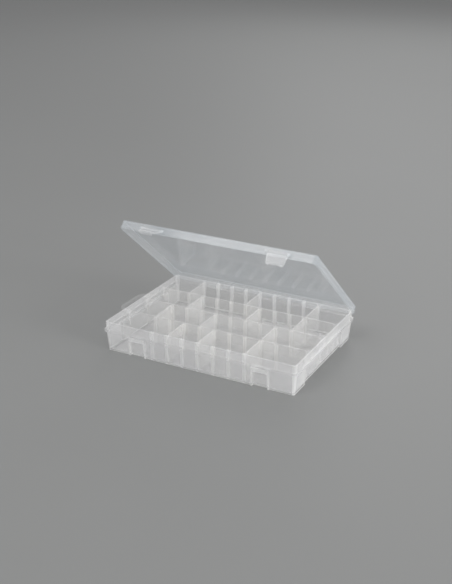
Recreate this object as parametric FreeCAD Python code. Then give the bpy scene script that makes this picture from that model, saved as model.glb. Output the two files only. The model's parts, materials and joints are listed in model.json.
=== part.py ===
import FreeCAD, Part
import math
import os

# Overall sizes, in millimetres: X along the box, Y front to back, Z up from the table
outer_length = 276.0
outer_depth = 188.0
base_height = 40.8
corner_radius = 5.5

# Tray walls
wall = 1.6
floor_thickness = 1.6
foot_inset = 2.2
flange_reach = 2.2
flange_height = 4.0
flange_top = 31.0

# Bays that set the lower side walls back between the corner posts
side_bay_length = 116.0
side_bay_inset = 2.8
side_bay_height = 24.0

# Ribs in pairs that make the upright slots, with room left free beside the side walls
slot_pitch = 22.0
end_room = 38.0
rib_thickness = 1.0
rib_reach = 1.5
rib_drop = 1.0
slot_clearance = 0.15

# Loose dividers
divider_thickness = 1.4
divider_top = 39.6
divider_corner = 4.5
divider_end_clearance = 0.2
divider_floor_clearance = 0.1
rows = 4
row_names = ("row1", "row2", "row3", "row4")
place_names = ("left", "middle", "right")
# Where the short dividers stand, as shares of the way from the middle slot to the last one
cross_slot_shares = ((-0.5, 0, 0.75), (-1, -0.25, 0.75), (-0.75, 0.25, 1), (-1, 0, 1))
long_names = ("front", "middle", "rear")

# Lid
lid_height = 11.4
lid_wall = 1.2
lid_edge_round = 1.0
lid_lip_reach = 0.5
lid_lip_height = 3.0
lid_seat_gap = 0.1
lid_rest_angle = 40.8

# Rear hinge: moulded bars on the tray, clip knuckles on the lid
hinge_station = 75.0
hinge_setback = 3.4
hinge_barrel_radius = 3.0
hinge_bar_radius = 1.5
hinge_fit = 0.06
hinge_mouth = 2.5
hinge_web_height = 2.6
knuckle_length = 24.0
hinge_ear_length = 5.0
hinge_end_gap = 0.3

# Front latches, in line with the last slots
left_latch_rest_angle = 60.0
right_latch_rest_angle = 0.0
latch_top_width = 28.0
latch_tip_width = 23.0
latch_thickness = 1.8
latch_gap = 0.4
latch_drop = 12.2
latch_tip_round = 3.5
latch_lip_radius = 1.1
pivot_out = 2.4
pivot_rise = 4.0
pivot_barrel_radius = 1.9
pivot_pin_radius = 1.0
pivot_pin_length = 2.2
pivot_fit = 0.06
pivot_end_gap = 0.25
lug_length = 3.0
lug_radius = 2.3
hook_width = 16.0
hook_reach = 2.6
hook_height = 2.6
hook_clearance = 0.3

# Latch recesses and catches on the tray
recess_width = 21.0
recess_depth = 2.6
recess_round = 3.0
catch_height = 4.0
catch_gap = 1.0

# Borders at the sides of the recesses, into which the flange turns down in a curve
border_width = 1.8
border_reach = 1.2
border_flare = 6.0

# Hanging loop on the left side
loop_length = 62.0
loop_reach = 20.0
loop_round = 15.0
loop_band = 4.5
loop_thickness = 2.4

# How far a cutting solid runs past the faces that it cuts
overrun = 5.0

# How nearly an edge runs along a direction to count as along it
edge_tolerance_share = 0.001

# Places worked out from the sizes above
half_length = outer_length / 2
half_depth = outer_depth / 2
rim_length = outer_length - 2 * flange_reach
rim_depth = outer_depth - 2 * flange_reach
rim_radius = corner_radius - flange_reach
foot_length = rim_length - 2 * foot_inset
foot_depth = rim_depth - 2 * foot_inset
flange_low = flange_top - flange_height
cavity_half_depth = foot_depth / 2 - wall
bay_face = foot_length / 2 - side_bay_inset
bay_inner = bay_face - wall
slots_each_way = int((bay_inner - end_room) / slot_pitch)
latch_place = slots_each_way * slot_pitch
row_pitch = 2 * (cavity_half_depth + divider_thickness / 2) / rows
row_clear = row_pitch - divider_thickness
slot_half = divider_thickness / 2 + slot_clearance
divider_low = floor_thickness + divider_floor_clearance
lid_low = flange_top + lid_seat_gap
skirt_half_depth = half_depth - lid_lip_reach
lid_top = lid_low + lid_height
hinge_y = half_depth + hinge_setback
hinge_z = flange_top
latch_tip = lid_low - latch_drop
latch_inner = half_depth + latch_gap
pivot_y = half_depth + pivot_out
pivot_z = lid_low + pivot_rise
hook_top = latch_tip + hook_height
catch_low = hook_top + hook_clearance
recess_top = catch_low + catch_height
recess_face = foot_depth / 2 - recess_depth
catch_reach = latch_inner - catch_gap
along_x = FreeCAD.Vector(1, 0, 0)
along_y = FreeCAD.Vector(0, 1, 0)
along_z = FreeCAD.Vector(0, 0, 1)
origin = FreeCAD.Vector(0, 0, 0)


def block(low, high):
    """A box between two opposite corners."""
    size = [b - a for a, b in zip(low, high)]
    return Part.makeBox(*size, FreeCAD.Vector(*low))


def rod(radius, start, end, y, z):
    """A cylinder along X between two places."""
    return Part.makeCylinder(radius, end - start, FreeCAD.Vector(start, y, z), along_x)


def rounded_wire(length, depth, radius, z):
    """A rectangle with round corners, level at height z, about the middle of the box."""
    x, y = length / 2, depth / 2
    a, b = x - radius, y - radius
    k = radius * math.cos(math.pi / 4)
    corners = ((a, b, 1, 1), (-a, b, -1, 1), (-a, -b, -1, -1), (a, -b, 1, -1))
    edges = []
    for n, (cx, cy, sx, sy) in enumerate(corners):
        on_side = FreeCAD.Vector(cx + sx * radius, cy, z)
        on_end = FreeCAD.Vector(cx, cy + sy * radius, z)
        middle = FreeCAD.Vector(cx + sx * k, cy + sy * k, z)
        first, last = (on_side, on_end) if n % 2 == 0 else (on_end, on_side)
        edges.append(Part.Arc(first, middle, last).toShape())
    straights = []
    for n, edge in enumerate(edges):
        start = edge.lastVertex(True).Point
        end = edges[(n + 1) % len(edges)].firstVertex(True).Point
        straights.append(Part.LineSegment(start, end).toShape())
    ring = [e for pair in zip(edges, straights) for e in pair]
    return Part.Wire(ring)


def prism(length, depth, radius, low, high):
    """An upright solid of the rounded rectangle."""
    face = Part.Face(rounded_wire(length, depth, radius, low))
    return face.extrude(FreeCAD.Vector(0, 0, high - low))


def taper(foot, head, radius, low, high):
    """A solid that widens from one rounded rectangle to another above it."""
    wires = [rounded_wire(*foot, radius, low), rounded_wire(*head, radius, high)]
    return Part.makeLoft(wires, True, True)


def both_sides(shape):
    """A shape on the right with its mirror image on the left."""
    return [shape, shape.mirror(origin, along_x)]


def fuse(shapes):
    return shapes[0].multiFuse(shapes[1:]).removeSplitter()


def round_edges(shape, radius, direction, picks):
    """Round the edges along one direction whose middle passes the test."""
    edges = []
    for edge in shape.Edges:
        way = edge.lastVertex().Point - edge.firstVertex().Point
        if way.Length and way.cross(direction).Length < way.Length * edge_tolerance_share:
            if picks(edge.CenterOfMass):
                edges.append(edge)
    return shape.makeFillet(radius, edges)


def slot_ribs(place, along, reach_from, reach_to, low, high):
    """The two ribs of one slot, in a wall that faces across the given direction."""
    ribs = []
    for side in (-1, 1):
        near = place + side * slot_half
        far = near + side * rib_thickness
        first, last = min(near, far), max(near, far)
        across = sorted((reach_from, reach_to))
        if along == "x":
            ribs.append(block((first, across[0], low), (last, across[1], high)))
        else:
            ribs.append(block((across[0], first, low), (across[1], last, high)))
    return ribs


def slot_places():
    return [n * slot_pitch for n in range(-slots_each_way, slots_each_way + 1)]


def row_edges():
    """The Y places of the long dividers, from the front to the rear."""
    return [(n - rows / 2) * row_pitch for n in range(1, rows)]


def row_middles():
    return [(n + (1 - rows) / 2) * row_pitch for n in range(rows)]


def tray_outside():
    """The tray's outer form without its flange."""
    lower = taper((foot_length, foot_depth), (rim_length, rim_depth), rim_radius, 0, flange_top)
    rim = prism(rim_length, rim_depth, rim_radius, flange_top, base_height)
    return fuse([lower, rim])


def tray_cavity():
    foot = (foot_length - 2 * wall, foot_depth - 2 * wall)
    head = (rim_length - 2 * wall, rim_depth - 2 * wall)
    radius = rim_radius - wall
    lower = taper(foot, head, radius, floor_thickness, flange_top)
    upper = prism(*head, radius, flange_top, base_height + overrun)
    return fuse([lower, upper])


def tray_inner_walls():
    """Slot ribs, and the inner faces of the side bays and latch recesses."""
    rib_top = base_height - rib_drop
    pieces = []
    for x in slot_places():
        rear = slot_ribs(x, "x", cavity_half_depth - rib_reach, rim_depth / 2, 0, rib_top)
        pieces += rear
        if abs(abs(x) - latch_place) > recess_width / 2 + wall:
            pieces += [rib.mirror(origin, along_y) for rib in rear]
    for y in row_edges():
        for rib in slot_ribs(y, "y", bay_inner - rib_reach, rim_length / 2, 0, rib_top):
            pieces += both_sides(rib)
    bay_half = side_bay_length / 2 + wall
    bay = block((bay_inner, -bay_half, 0), (rim_length / 2, bay_half, side_bay_height + wall))
    pieces += both_sides(bay)
    recess_half = recess_width / 2 + wall
    recess = block(
        (latch_place - recess_half, -rim_depth / 2, 0),
        (latch_place + recess_half, wall - recess_face, recess_top + wall),
    )
    pieces += both_sides(recess)
    return pieces


def tray_outer_cuts():
    """Room outside the side bays and in front of the latch recesses."""
    bay_half = side_bay_length / 2
    bay = block((bay_face, -bay_half, -overrun), (half_length + overrun, bay_half, side_bay_height))
    recess = block(
        (latch_place - recess_width / 2, -half_depth - overrun, -overrun),
        (latch_place + recess_width / 2, -recess_face, recess_top),
    )
    recess = round_edges(recess, recess_round, along_y, lambda middle: middle.z > recess_top / 2)
    return both_sides(bay) + both_sides(recess)


def catch_bars():
    """Ledges at the top of the recesses, which the latch hooks hold under."""
    bar = block(
        (latch_place - recess_width / 2, -catch_reach, catch_low),
        (latch_place + recess_width / 2, wall / 2 - recess_face, recess_top + wall / 2),
    )
    return both_sides(bar)


def quarter(corner, radius, start, end):
    """A quarter circle in a plane across Y, about a centre given by its X and Z, from start to end."""
    k = radius * math.cos(math.pi / 4)
    middle = (corner[0] - k, corner[1] + k)
    points = [FreeCAD.Vector(x, -half_depth, z) for x, z in (start, middle, end)]
    return Part.Arc(*points).toShape()


def border_face():
    """The front of the flange's band as it turns down along the outer side of the right recess."""
    inner = latch_place + recess_width / 2
    outer = inner + border_width
    turn = flange_low - border_flare
    crown = border_flare + flange_height
    flare_end = outer + border_flare
    above = quarter((inner + crown, turn), crown, (inner, turn), (inner + crown, flange_top))
    below = quarter((flare_end, turn), border_flare, (outer, turn), (flare_end, flange_low))
    path = ((inner + crown, flange_top), (inner + crown, flange_low), (flare_end, flange_low))
    foot = ((outer, turn), (outer, 0), (inner, 0), (inner, turn))
    lines = [Part.makePolygon([FreeCAD.Vector(x, -half_depth, z) for x, z in run]) for run in (path, foot)]
    edges = [above, below] + [edge for line in lines for edge in line.Edges]
    return Part.Face(Part.Wire(Part.__sortEdges__(edges)))


def recess_borders():
    """Borders at both sides of each recess, which slope back with the wall down to the foot."""
    band = border_face().extrude(FreeCAD.Vector(0, half_depth - cavity_half_depth, 0))
    foot = (foot_length + 2 * border_reach, foot_depth + 2 * border_reach)
    sloped = taper(foot, (outer_length, outer_depth), corner_radius, 0, flange_low)
    upright = prism(outer_length, outer_depth, corner_radius, flange_low, flange_top)
    band = band.common(fuse([sloped, upright])).cut(tray_cavity())
    pair = [band, band.mirror(FreeCAD.Vector(latch_place, 0, 0), along_x)]
    return [piece for border in pair for piece in both_sides(border)]


def flange_band():
    """The flange round the tray, open in front of the latch recesses."""
    flange = prism(outer_length, outer_depth, corner_radius, flange_low, flange_top)
    inside_size = (rim_length - wall, rim_depth - wall)
    flange = flange.cut(prism(*inside_size, rim_radius, flange_low - overrun, flange_top + overrun))
    half = recess_width / 2 + border_flare + flange_height
    notch = block(
        (latch_place - half, -half_depth - overrun, flange_low - overrun),
        (latch_place + half, -rim_depth / 2, flange_top + overrun),
    )
    for cutter in both_sides(notch):
        flange = flange.cut(cutter)
    return flange


def hinge_bars():
    """Two ears and a round bar between them at each hinge station."""
    inner = hinge_station - knuckle_length / 2 - hinge_end_gap
    outer = hinge_station + knuckle_length / 2 + hinge_end_gap
    sunk = hinge_ear_length / 2
    web_low = hinge_z - hinge_barrel_radius
    pieces = [rod(hinge_bar_radius, inner - sunk, outer + sunk, hinge_y, hinge_z)]
    for start in (inner - hinge_ear_length, outer):
        end = start + hinge_ear_length
        pieces.append(rod(hinge_barrel_radius, start, end, hinge_y, hinge_z))
        pieces.append(block((start, half_depth - flange_reach, web_low), (end, hinge_y, flange_top)))
    return both_sides(fuse(pieces))


def hang_loop():
    """A flat loop that stands out from the flange on the left."""
    low, high = flange_top - loop_thickness, flange_top
    reach = loop_reach + loop_round + loop_band
    outer = prism(2 * reach, loop_length, loop_round, low, high)
    inner_size = (2 * (reach - loop_band), loop_length - 2 * loop_band)
    inner = prism(*inner_size, loop_round - loop_band, low - overrun, high + overrun)
    ring = outer.cut(inner)
    middle = reach - loop_reach - half_length
    ring.translate(FreeCAD.Vector(middle, 0, 0))
    root = (rim_length - wall) / 2
    keep = block(
        (-half_length - loop_reach - overrun, -loop_length, low - overrun),
        (-root, loop_length, high + overrun),
    )
    return ring.common(keep)


def base_tray():
    outside = tray_outside()
    shell = outside.cut(tray_cavity())
    inner_walls = fuse(tray_inner_walls()).common(outside)
    tray = fuse([shell, inner_walls])
    for cutter in tray_outer_cuts():
        tray = tray.cut(cutter)
    return fuse([tray, flange_band(), hang_loop()] + recess_borders() + catch_bars() + hinge_bars())


def long_divider(y):
    """A plate along the box, with slot ribs on both faces."""
    half = bay_inner - divider_end_clearance
    thick = divider_thickness / 2
    plate = block((-half, y - thick, divider_low), (half, y + thick, divider_top))
    plate = round_edges(plate, divider_corner, along_y, lambda middle: middle.z > divider_top / 2)
    plate_end = plate.BoundBox.XMax
    ribs = []
    rib_top = divider_top - rib_drop
    for x in slot_places():
        if abs(x) < plate_end:
            for side in (-1, 1):
                ribs += slot_ribs(x, "x", y, y + side * (thick + rib_reach), divider_low, rib_top)
    return fuse([plate] + ribs)


def cross_divider(x, y):
    """A plate across one row."""
    half = row_clear / 2 - divider_end_clearance
    thick = divider_thickness / 2
    plate = block((x - thick, y - half, divider_low), (x + thick, y + half, divider_top))
    return round_edges(plate, divider_corner, along_x, lambda middle: middle.z > divider_top / 2)


def latch_lugs():
    """Lugs on the lid's front skirt that hold a latch's pins."""
    inner = latch_top_width / 2 + pivot_end_gap
    hole = pivot_pin_radius + pivot_fit
    lugs = []
    for place in (-latch_place, latch_place):
        for side in (-1, 1):
            start, end = sorted((place + side * inner, place + side * (inner + lug_length)))
            web = block(
                (start, -pivot_y, pivot_z - lug_radius),
                (end, lid_wall / 2 - skirt_half_depth, pivot_z + lug_radius),
            )
            lug = fuse([rod(lug_radius, start, end, -pivot_y, pivot_z), web])
            lugs.append(lug.cut(rod(hole, start - overrun, end + overrun, -pivot_y, pivot_z)))
    return lugs


def hinge_knuckles():
    """Clips on the lid's rear skirt, open at one side to snap over the tray's bars."""
    start = hinge_station - knuckle_length / 2
    end = hinge_station + knuckle_length / 2
    web_low = lid_low + lid_seat_gap
    web_root = skirt_half_depth - lid_wall / 2
    web = block((start, web_root, web_low), (end, hinge_y, web_low + hinge_web_height))
    knuckle = fuse([rod(hinge_barrel_radius, start, end, hinge_y, hinge_z), web])
    bore = rod(hinge_bar_radius + hinge_fit, start - overrun, end + overrun, hinge_y, hinge_z)
    mouth = block(
        (start - overrun, hinge_y - hinge_mouth / 2, hinge_z - hinge_barrel_radius - overrun),
        (end + overrun, hinge_y + hinge_mouth / 2, hinge_z),
    )
    return both_sides(knuckle.cut(bore).cut(mouth))


def open_lid(shape):
    """Swing a closed piece of the lid to the angle at which the box stands open."""
    hinge = FreeCAD.Vector(0, hinge_y, hinge_z)
    shape.rotate(hinge, along_x, -lid_rest_angle)
    return shape


def lid_shell():
    """A shallow cover with a lip along the lower edge of its skirt."""
    skirt_radius = corner_radius - lid_lip_reach
    skirt_size = (outer_length - 2 * lid_lip_reach, 2 * skirt_half_depth)
    cover = prism(*skirt_size, skirt_radius, lid_low, lid_top)
    top_edges = [e for e in cover.Edges if e.BoundBox.ZMin > (lid_low + lid_top) / 2]
    cover = cover.makeFillet(lid_edge_round, top_edges)
    lip = prism(outer_length, outer_depth, corner_radius, lid_low, lid_low + lid_lip_height)
    inner_size = [size - 2 * lid_wall for size in skirt_size]
    inside = prism(*inner_size, skirt_radius - lid_wall, lid_low - overrun, lid_top - lid_wall)
    return fuse([cover, lip]).cut(inside)


def lid():
    return open_lid(fuse([lid_shell()] + latch_lugs() + hinge_knuckles()))


def latch_plate(place):
    """The tapering tab, with round corners at its tip."""
    outline = (
        (place - latch_top_width / 2, pivot_z),
        (place + latch_top_width / 2, pivot_z),
        (place + latch_tip_width / 2, latch_tip),
        (place - latch_tip_width / 2, latch_tip),
    )
    outer = -latch_inner - latch_thickness
    points = [FreeCAD.Vector(x, outer, z) for x, z in outline]
    face = Part.Face(Part.makePolygon(points + points[:1]))
    plate = face.extrude(FreeCAD.Vector(0, latch_thickness, 0))
    return round_edges(plate, latch_tip_round, along_y, lambda middle: middle.z < pivot_z - latch_drop / 2)


def latch_hook(place):
    """A wedge behind the tab, flat on top, which holds under the catch."""
    profile = (
        (-latch_inner - latch_thickness / 2, hook_top),
        (-latch_inner + hook_reach, hook_top),
        (-latch_inner, latch_tip),
        (-latch_inner - latch_thickness / 2, latch_tip),
    )
    start = place - hook_width / 2
    points = [FreeCAD.Vector(start, y, z) for y, z in profile]
    face = Part.Face(Part.makePolygon(points + points[:1]))
    return face.extrude(FreeCAD.Vector(hook_width, 0, 0))


def latch(place, rest_angle):
    """A snap latch with its pivot barrel, its two pins and a finger lip, swung out by an angle."""
    half = latch_top_width / 2
    pin = half + pivot_end_gap + pivot_pin_length
    lip_half = latch_tip_width / 2 - latch_tip_round
    lip_y = -latch_inner - latch_thickness
    pieces = [
        latch_plate(place),
        latch_hook(place),
        rod(pivot_barrel_radius, place - half, place + half, -pivot_y, pivot_z),
        rod(pivot_pin_radius, place - pin, place + pin, -pivot_y, pivot_z),
        rod(latch_lip_radius, place - lip_half, place + lip_half, lip_y, latch_tip + latch_lip_radius),
    ]
    made = fuse(pieces)
    made.rotate(FreeCAD.Vector(place, -pivot_y, pivot_z), along_x, -rest_angle)
    return open_lid(made)


def all_parts():
    parts = {"base_tray": base_tray(), "lid": lid()}
    parts["latch_left"] = latch(-latch_place, left_latch_rest_angle)
    parts["latch_right"] = latch(latch_place, right_latch_rest_angle)
    for name, y in zip(long_names, row_edges()):
        parts["long_divider_" + name] = long_divider(y)
    for row, y, shares in zip(row_names, row_middles(), cross_slot_shares):
        for place, share in zip(place_names, shares):
            x = round(share * slots_each_way) * slot_pitch
            parts["cross_divider_" + row + "_" + place] = cross_divider(x, y)
    return parts


os.makedirs("parts", exist_ok=True)
for node, shape in all_parts().items():
    print(node, "solids", len(shape.Solids), "valid", shape.isValid(), "volume", round(shape.Volume, 1))
    shape.exportStep("parts/" + node + ".step")
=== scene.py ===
"""Looks of a translucent compartment box with an open hinged lid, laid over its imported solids."""

import json
import math

import bpy
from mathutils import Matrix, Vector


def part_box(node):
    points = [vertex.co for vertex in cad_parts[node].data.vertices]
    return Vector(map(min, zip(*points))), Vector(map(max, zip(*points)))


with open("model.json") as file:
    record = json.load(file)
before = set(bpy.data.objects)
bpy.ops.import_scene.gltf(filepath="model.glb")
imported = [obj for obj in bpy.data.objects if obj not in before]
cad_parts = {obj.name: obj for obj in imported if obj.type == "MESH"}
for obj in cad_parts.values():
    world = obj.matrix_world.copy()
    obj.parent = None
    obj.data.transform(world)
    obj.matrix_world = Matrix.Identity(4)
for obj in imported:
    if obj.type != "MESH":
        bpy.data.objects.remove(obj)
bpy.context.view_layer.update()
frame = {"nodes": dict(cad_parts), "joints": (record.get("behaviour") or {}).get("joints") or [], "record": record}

# Lengths in metres, angles in degrees
MM = 0.001

# Camera at the photograph's angle, for a picture of 452 x 584 pixels
picture_height_px = 584
focal_px = 1000.0
sensor_mm = 36.0
camera_azimuth = 27.97
camera_elevation = 23.17
camera_place = (0.55589, -1.05895, 0.58682)

# Studio
floor_size = 16.0
floor_dark, floor_pale = (0.226, 0.229, 0.226), (0.234, 0.237, 0.234)
floor_gloss_from, floor_gloss_to = 0.53, 0.57
cloud_scale, cloud_detail = 2.5, 4.0
fibre_scale, fibre_detail, fibre_depth, fibre_share = 700.0, 3.0, 0.1 * MM, 0.08
world_grey = (0.82, 0.82, 0.83)
world_strength = 0.595
box_middle = (0.0, 0.0, 0.04)
floor_behind = (-0.3, 1.3, 0.0)
softboxes = (
    # name, place, size, power, spread, target
    ("key", (-0.55, -1.25, 2.05), (1.3, 1.3), 19.0, 180.0, box_middle),
    ("back", (0.2, 1.5, 1.7), (2.0, 1.0), 3.0, 180.0, box_middle),
    ("right", (3.4, -0.53, 0.66), (1.6, 0.8), 13.5, 60.0, box_middle),
    ("front", (-0.9, -1.8, 0.9), (1.5, 1.2), 8.0, 180.0, box_middle),
    ("floor", (-0.3, 2.6, 1.2), (2.0, 1.0), 13.0, 180.0, floor_behind),
)

# Light passes many thin walls in a row
see_through_bounces = 64

# Plastic: the share of its milk that glows through, its shine, and how it looks whiter near an edge
glow_share = 0.45
milk_roughness = 0.6
plastic_ior = 1.49
facing_blend = 0.35
edge_reach = 1.8 * MM
edge_samples = 6
edge_cosine = 0.86

# Marks in the plastic: cloudy flow, satin grain and fine scuffs, with scales per metre
flow_scale, flow_detail = 28.0, 3.0
flow_haze_share, flow_gloss_share = 0.10, 0.15
grain_scale, grain_depth = 2200.0, 0.1 * MM
scuff_turns = ((0.2, 0.5, 0.6), (-0.4, 0.1, -0.8))
scuff_stretch = (45.0, 2600.0, 2600.0)
scuff_from, scuff_to = 0.62, 0.72
scuff_haze, scuff_roughness = 0.04, 0.05

# Where in the middle of its range a noise runs from none to full, for the swing of a value and of a tint
swing_from, swing_to = 0.3, 0.7
tint_from, tint_to = 0.35, 0.65

# By slot: two tints of the milk, its share on a flat face, more along edges, more at a grazing look,
# and the roughness and the share of grain in the shine
plastics = {
    "tray_plastic": ((0.95, 0.95, 0.94), (0.93, 0.93, 0.94), 0.17, 0.22, 0.15, 0.22, 0.08),
    "lid_plastic": ((0.90, 0.94, 0.97), (0.84, 0.91, 0.96), 0.17, 0.28, 0.10, 0.12, 0.02),
    "latch_plastic": ((0.95, 0.95, 0.95), (0.92, 0.93, 0.94), 0.14, 0.16, 0.10, 0.20, 0.08),
    "divider_plastic": ((0.90, 0.89, 0.865), (0.87, 0.87, 0.86), 0.13, 0.15, 0.14, 0.24, 0.08),
}

# Lid: its skirt is this thick, and its skirt and the lugs of its latches look clearer
lid_wall = 1.7 * MM
skirt_clear_share = 0.75
lug_clear_share = 0.6
skirt_edge_share = 0.45

# Tray: where it looks whiter or clearer than its plain walls, and by how much
wall = 1.9 * MM
flange_reach = 2.2 * MM
flange_low = 27.0 * MM
corner_reach = 5.0 * MM
rim_edge = 2.0 * MM
foot_height = 2.0 * MM
foot_reach = 7.5 * MM
recess_half_width = 10.5 * MM
border_width = 1.8 * MM
slot_pitch = 22.0 * MM
slot_half_width = 1.9 * MM
row_pitch = 44.35 * MM
end_rib_reach = 14.0 * MM
blur_reach = 0.6 * MM
band_haze = 0.02
corner_haze = 0.14
border_haze = 0.06
catch_haze = 0.20
# The foot is whiter partly for the tray floor seen edge-on through the wall and partly as painted light over the
# shade under the tray
foot_haze_and_painted_light = 0.42
rib_haze = 0.16
# Painted light: the end walls below the flange are made whiter to stand in for the light falling on them
end_painted_light = 0.10
loop_clear_share = 0.60
# Painted shade: the flange keeps only this share of its haze, which dims the ledge where light from above falls on
# it
flange_painted_shade_share = 0.60
floor_clear_share = 0.55
end_rib_clear_share = 0.40
plain_edge_share = 0.25
rim_edge_share = 0.38
corner_edge_share = 0.40


def link(tree, source, target):
    tree.links.new(source, target)


def node(tree, kind, **settings):
    made = tree.nodes.new(kind)
    for key, value in settings.items():
        setattr(made, key, value)
    return made


def math_node(tree, operation, first, second, clamp=False):
    made = node(tree, "ShaderNodeMath", operation=operation, use_clamp=clamp)
    for socket, value in zip(made.inputs, (first, second)):
        if isinstance(value, (int, float)):
            socket.default_value = value
        else:
            link(tree, value, socket)
    return made.outputs[0]


def scaled(tree, value, share):
    return math_node(tree, "MULTIPLY", value, share)


def ranged(tree, value, low, high, to_low, to_high):
    made = node(tree, "ShaderNodeMapRange")
    for name, number in (("From Min", low), ("From Max", high), ("To Min", to_low), ("To Max", to_high)):
        made.inputs[name].default_value = number
    link(tree, value, made.inputs["Value"])
    return made.outputs["Result"]


def noise(tree, place, scale, detail=2.0):
    made = node(tree, "ShaderNodeTexNoise")
    made.inputs["Scale"].default_value = scale
    made.inputs["Detail"].default_value = detail
    link(tree, place, made.inputs["Vector"])
    return made.outputs["Fac"]


def swung(tree, marks, value, share):
    """A value that noisy marks shift by a share to either side."""
    return ranged(tree, marks, swing_from, swing_to, value * (1 - share), value * (1 + share))


def tinted(tree, share, first, second):
    """A colour between two, by a share from nodes."""
    made = node(tree, "ShaderNodeMix", data_type="RGBA")
    made.inputs["A"].default_value = (*first, 1.0)
    made.inputs["B"].default_value = (*second, 1.0)
    link(tree, share, made.inputs["Factor"])
    return made.outputs["Result"]


def mixed(tree, share, first, second):
    """Two shaders, the second by a share that is a number or comes from nodes."""
    made = node(tree, "ShaderNodeMixShader")
    if isinstance(share, (int, float)):
        made.inputs["Fac"].default_value = share
    else:
        link(tree, share, made.inputs["Fac"])
    link(tree, first, made.inputs[1])
    link(tree, second, made.inputs[2])
    return made.outputs[0]


def grained(tree, grain, share, depth):
    """A normal that follows a fine grain."""
    bump = node(tree, "ShaderNodeBump")
    bump.inputs["Strength"].default_value = share
    bump.inputs["Distance"].default_value = depth
    link(tree, grain, bump.inputs["Height"])
    return bump.outputs["Normal"]


def edge_mask(tree, reach):
    """One on edges, where a longer way through the plastic looks whiter, and zero on flat faces."""
    rounded = node(tree, "ShaderNodeBevel", samples=edge_samples)
    rounded.inputs["Radius"].default_value = reach
    flat = node(tree, "ShaderNodeNewGeometry")
    dot = node(tree, "ShaderNodeVectorMath", operation="DOT_PRODUCT")
    link(tree, rounded.outputs["Normal"], dot.inputs[0])
    link(tree, flat.outputs["Normal"], dot.inputs[1])
    return ranged(tree, dot.outputs["Value"], 1.0, edge_cosine, 0.0, 1.0)


def scuff_mask(tree, place):
    """One along fine scratches in a few directions, zero between them."""
    lines = []
    for turn in scuff_turns:
        drawn = node(tree, "ShaderNodeMapping")
        drawn.inputs["Rotation"].default_value = turn
        drawn.inputs["Scale"].default_value = scuff_stretch
        link(tree, place, drawn.inputs["Vector"])
        streaks = noise(tree, drawn.outputs["Vector"], 1.0)
        lines.append(ranged(tree, streaks, scuff_from, scuff_to, 0.0, 1.0))
    return either(tree, *lines)


def past(tree, value, limit):
    """One where a coordinate is past a limit, zero where it falls short, with a soft step between."""
    return ranged(tree, value, limit - blur_reach / 2, limit + blur_reach / 2, 0.0, 1.0)


def either(tree, *masks):
    total = masks[0]
    for mask in masks[1:]:
        total = math_node(tree, "MAXIMUM", total, mask)
    return total


def both(tree, *masks):
    total = masks[0]
    for mask in masks[1:]:
        total = math_node(tree, "MULTIPLY", total, mask)
    return total


def lacking(tree, mask, share=1.0):
    """One where a mask is zero, and less by a share where it is one."""
    return math_node(tree, "SUBTRACT", 1.0, scaled(tree, mask, share))


def coordinates(tree, place):
    """How far along, across and up a place lies, the first two from the middle of the box."""
    split = node(tree, "ShaderNodeSeparateXYZ")
    link(tree, place, split.inputs[0])
    sides = [math_node(tree, "ABSOLUTE", split.outputs[name], 0.0) for name in ("X", "Y")]
    return *sides, split.outputs["Z"]


def slot_bars(tree, along, pitch):
    """One along the pairs of ribs that make the slots, a pitch apart."""
    off = math_node(tree, "PINGPONG", along, pitch / 2)
    return lacking(tree, past(tree, off, slot_half_width))


def plain_haze(tree, place, haze, whiter):
    """Haze of a piece that looks the same at every place, but for its edges."""
    return math_node(tree, "ADD", haze, whiter, clamp=True)


def lid_haze(tree, place, haze, whiter):
    """Haze of the lid, clearer along its skirt, worked out where the lid lies when it is closed."""
    hinge = next(joint for joint in frame["joints"] if joint["name"] == "lid_hinge")
    low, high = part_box("base_tray")
    closed = node(tree, "ShaderNodeVectorRotate", rotation_type="AXIS_ANGLE")
    link(tree, place, closed.inputs["Vector"])
    closed.inputs["Center"].default_value = hinge["pos_m"]
    closed.inputs["Axis"].default_value = hinge["axis"]
    closed.inputs["Angle"].default_value = math.radians(hinge["range_deg"][0])
    x, y, _ = coordinates(tree, closed.outputs["Vector"])
    skirt = either(tree, past(tree, x, high.x - lid_wall), past(tree, y, -low.y - lid_wall))
    lugs = past(tree, y, -low.y + blur_reach)
    clear = both(tree, lacking(tree, skirt, 1.0 - skirt_clear_share),
                 lacking(tree, lugs, 1.0 - lug_clear_share))
    edges = both(tree, whiter, lacking(tree, skirt, 1.0 - skirt_edge_share))
    return math_node(tree, "MULTIPLY", math_node(tree, "ADD", haze, edges), clear, clamp=True)


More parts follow.
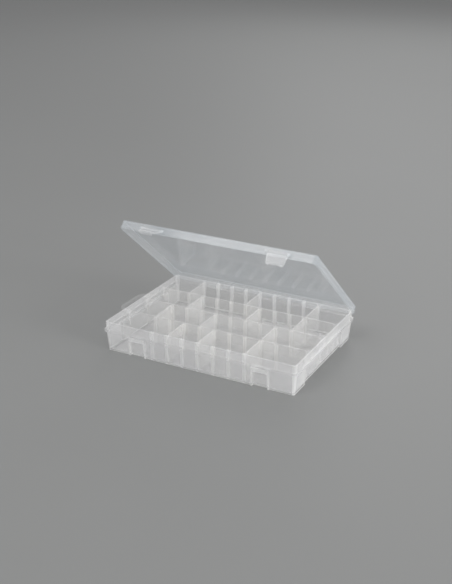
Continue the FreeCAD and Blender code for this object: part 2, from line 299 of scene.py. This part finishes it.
def tray_haze(tree, place, haze, whiter):
    """Haze of the tray: whiter at its foot, corners, ends, ribs and recesses, clearer at floor and loop."""
    low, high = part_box("base_tray")
    latch_low, latch_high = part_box("latch_right")
    half_length, half_depth, top = high.x, -low.y, high.z
    latch_place = (latch_low.x + latch_high.x) / 2
    x, y, z = coordinates(tree, place)
    band = past(tree, z, flange_low)
    below = lacking(tree, band)
    bottom = lacking(tree, past(tree, z, foot_height))
    near_front = past(tree, y, half_depth - flange_reach - corner_reach)
    near_end = past(tree, x, half_length - flange_reach - corner_reach)
    outer = either(tree, past(tree, x, half_length - flange_reach - foot_reach), near_front)
    # Foot: partly edge-on floor, partly painted light over the shade under the tray
    foot = both(tree, bottom, outer)
    middle = both(tree, bottom, lacking(tree, outer))
    proud = either(tree, past(tree, x, half_length - flange_reach + blur_reach),
                   past(tree, y, half_depth - flange_reach + blur_reach))
    corner = both(tree, near_end, near_front)
    from_latch = math_node(tree, "ABSOLUTE", math_node(tree, "SUBTRACT", x, latch_place), 0.0)
    beside_recess = past(tree, from_latch, recess_half_width)
    past_border = past(tree, from_latch, recess_half_width + border_width)
    border = both(tree, beside_recess, lacking(tree, past_border), near_front, below)
    catch = both(tree, lacking(tree, beside_recess), proud, below)
    flange = both(tree, proud, lacking(tree, catch))
    # Painted light on the end walls below the flange
    end = both(tree, near_end, below)
    rib = both(tree, slot_bars(tree, x, slot_pitch), near_front,
               lacking(tree, past(tree, x, latch_place - recess_half_width)))
    wall_face = either(tree, past(tree, x, half_length - flange_reach - wall),
                       past(tree, y, half_depth - flange_reach - wall))
    end_rib = both(tree, slot_bars(tree, y, row_pitch), past(tree, x, half_length - end_rib_reach),
                   lacking(tree, either(tree, wall_face, near_front)), band)
    loop = past(tree, x, half_length + blur_reach)
    # The flange is clearer here as painted shade over its lit ledge
    clear = both(tree, lacking(tree, loop, 1.0 - loop_clear_share),
                 lacking(tree, flange, 1.0 - flange_painted_shade_share),
                 lacking(tree, middle, 1.0 - floor_clear_share),
                 lacking(tree, end_rib, 1.0 - end_rib_clear_share))
    rim = scaled(tree, both(tree, past(tree, z, top - rim_edge), wall_face), rim_edge_share)
    corner_edge = scaled(tree, corner, corner_edge_share)
    shown = math_node(tree, "MAXIMUM", plain_edge_share, either(tree, rim, border, corner_edge))
    # No edge whitening on the flange, painted shade over its lit ledge
    edges = both(tree, whiter, shown, lacking(tree, flange))
    total = math_node(tree, "ADD", haze, edges)
    for mask, extra in ((band, band_haze), (corner, corner_haze), (border, border_haze),
                        (end, end_painted_light), (rib, rib_haze), (catch, catch_haze), (foot, foot_haze_and_painted_light)):
        total = math_node(tree, "ADD", total, scaled(tree, mask, extra))
    return math_node(tree, "MULTIPLY", total, clear, clamp=True)


def plastic(name, pale, cool, haze, edge_haze, grazing_haze, roughness, grain_share, haze_by_place):
    """Milky moulded plastic with flow marks, grain and scuffs, hazier at edges and at a grazing look."""
    material = bpy.data.materials.new(name)
    material.use_nodes = True
    tree = material.node_tree
    shader = tree.nodes["Principled BSDF"]
    place = node(tree, "ShaderNodeTexCoord").outputs["Object"]
    flow = noise(tree, place, flow_scale, flow_detail)
    scuffs = scuff_mask(tree, place)

    tint = tinted(tree, ranged(tree, flow, tint_from, tint_to, 0.0, 1.0), cool, pale)
    glow = node(tree, "ShaderNodeBsdfTranslucent")
    link(tree, tint, shader.inputs["Base Color"])
    link(tree, tint, glow.inputs["Color"])
    shader.inputs["Roughness"].default_value = milk_roughness
    milk = mixed(tree, glow_share, shader.outputs["BSDF"], glow.outputs["BSDF"])

    facing = node(tree, "ShaderNodeLayerWeight")
    facing.inputs["Blend"].default_value = facing_blend
    body = swung(tree, flow, haze, flow_haze_share)
    body = math_node(tree, "ADD", body, scaled(tree, scuffs, scuff_haze))
    body = math_node(tree, "ADD", body, scaled(tree, facing.outputs["Facing"], grazing_haze))
    whiter = scaled(tree, edge_mask(tree, edge_reach), edge_haze)
    clear = node(tree, "ShaderNodeBsdfTransparent")
    sheet = mixed(tree, haze_by_place(tree, place, body, whiter), clear.outputs["BSDF"], milk)

    gloss = node(tree, "ShaderNodeBsdfGlossy")
    satin = swung(tree, flow, roughness, flow_gloss_share)
    satin = math_node(tree, "ADD", satin, scaled(tree, scuffs, scuff_roughness))
    link(tree, satin, gloss.inputs["Roughness"])
    grain = noise(tree, place, grain_scale)
    link(tree, grained(tree, grain, grain_share, grain_depth), gloss.inputs["Normal"])
    fresnel = node(tree, "ShaderNodeFresnel")
    fresnel.inputs["IOR"].default_value = plastic_ior
    outside = math_node(tree, "SUBTRACT", 1.0, node(tree, "ShaderNodeNewGeometry").outputs["Backfacing"])
    mirror = math_node(tree, "MULTIPLY", fresnel.outputs["Fac"], outside)
    surface = mixed(tree, mirror, sheet, gloss.outputs["BSDF"])
    link(tree, surface, tree.nodes["Material Output"].inputs["Surface"])
    return material


def floor_paper():
    """Plain pale paper with faint clouds and fibres."""
    material = bpy.data.materials.new("floor_paper")
    material.use_nodes = True
    tree = material.node_tree
    shader = tree.nodes["Principled BSDF"]
    place = node(tree, "ShaderNodeTexCoord").outputs["Object"]
    clouds = noise(tree, place, cloud_scale, cloud_detail)
    clouds = ranged(tree, clouds, swing_from, swing_to, 0.0, 1.0)
    link(tree, tinted(tree, clouds, floor_dark, floor_pale), shader.inputs["Base Color"])
    link(tree, ranged(tree, clouds, 0.0, 1.0, floor_gloss_from, floor_gloss_to), shader.inputs["Roughness"])
    fibres = noise(tree, place, fibre_scale, fibre_detail)
    link(tree, grained(tree, fibres, fibre_share, fibre_depth), shader.inputs["Normal"])
    return material


def dress():
    """Give every solid its plastic."""
    by_place = {"tray_plastic": tray_haze, "lid_plastic": lid_haze}
    made = {}
    for slot, look in plastics.items():
        made[slot] = plastic(slot, *look, by_place.get(slot, plain_haze))
    for part in frame["record"]["subparts"]:
        mesh = frame["nodes"][part["node"]].data
        mesh.materials.clear()
        mesh.materials.append(made[part["material_slot"]])


def studio():
    """A plain pale floor, soft boxes and an even sky."""
    bpy.ops.mesh.primitive_plane_add(size=floor_size)
    floor = bpy.context.object
    floor.name = "floor"
    floor.data.materials.append(floor_paper())
    world = bpy.data.worlds.new("studio")
    world.use_nodes = True
    sky = world.node_tree.nodes["Background"]
    sky.inputs["Color"].default_value = (*world_grey, 1.0)
    sky.inputs["Strength"].default_value = world_strength
    bpy.context.scene.world = world
    for name, place, size, power, spread, target in softboxes:
        lamp = bpy.data.lights.new(name, "AREA")
        lamp.shape = "RECTANGLE"
        lamp.size, lamp.size_y = size
        lamp.energy = power
        lamp.spread = math.radians(spread)
        lamp_object = bpy.data.objects.new(name, lamp)
        lamp_object.location = place
        aim = [t - p for t, p in zip(target, place)]
        lamp_object.rotation_euler = Vector(aim).to_track_quat("-Z", "Y").to_euler()
        bpy.context.scene.collection.objects.link(lamp_object)


def camera():
    """A camera where the photograph was taken from."""
    lens = bpy.data.cameras.new("camera")
    lens.sensor_width = sensor_mm
    lens.lens = focal_px * sensor_mm / picture_height_px
    lens.clip_end = 2 * floor_size
    made = bpy.data.objects.new("camera", lens)
    made.location = camera_place
    tilt = math.radians(90 - camera_elevation)
    made.rotation_euler = (tilt, 0.0, math.radians(camera_azimuth))
    bpy.context.scene.collection.objects.link(made)
    bpy.context.scene.camera = made


dress()
studio()
camera()
scene = bpy.context.scene
scene.cycles.transparent_max_bounces = see_through_bounces
scene.view_settings.view_transform = "Standard"
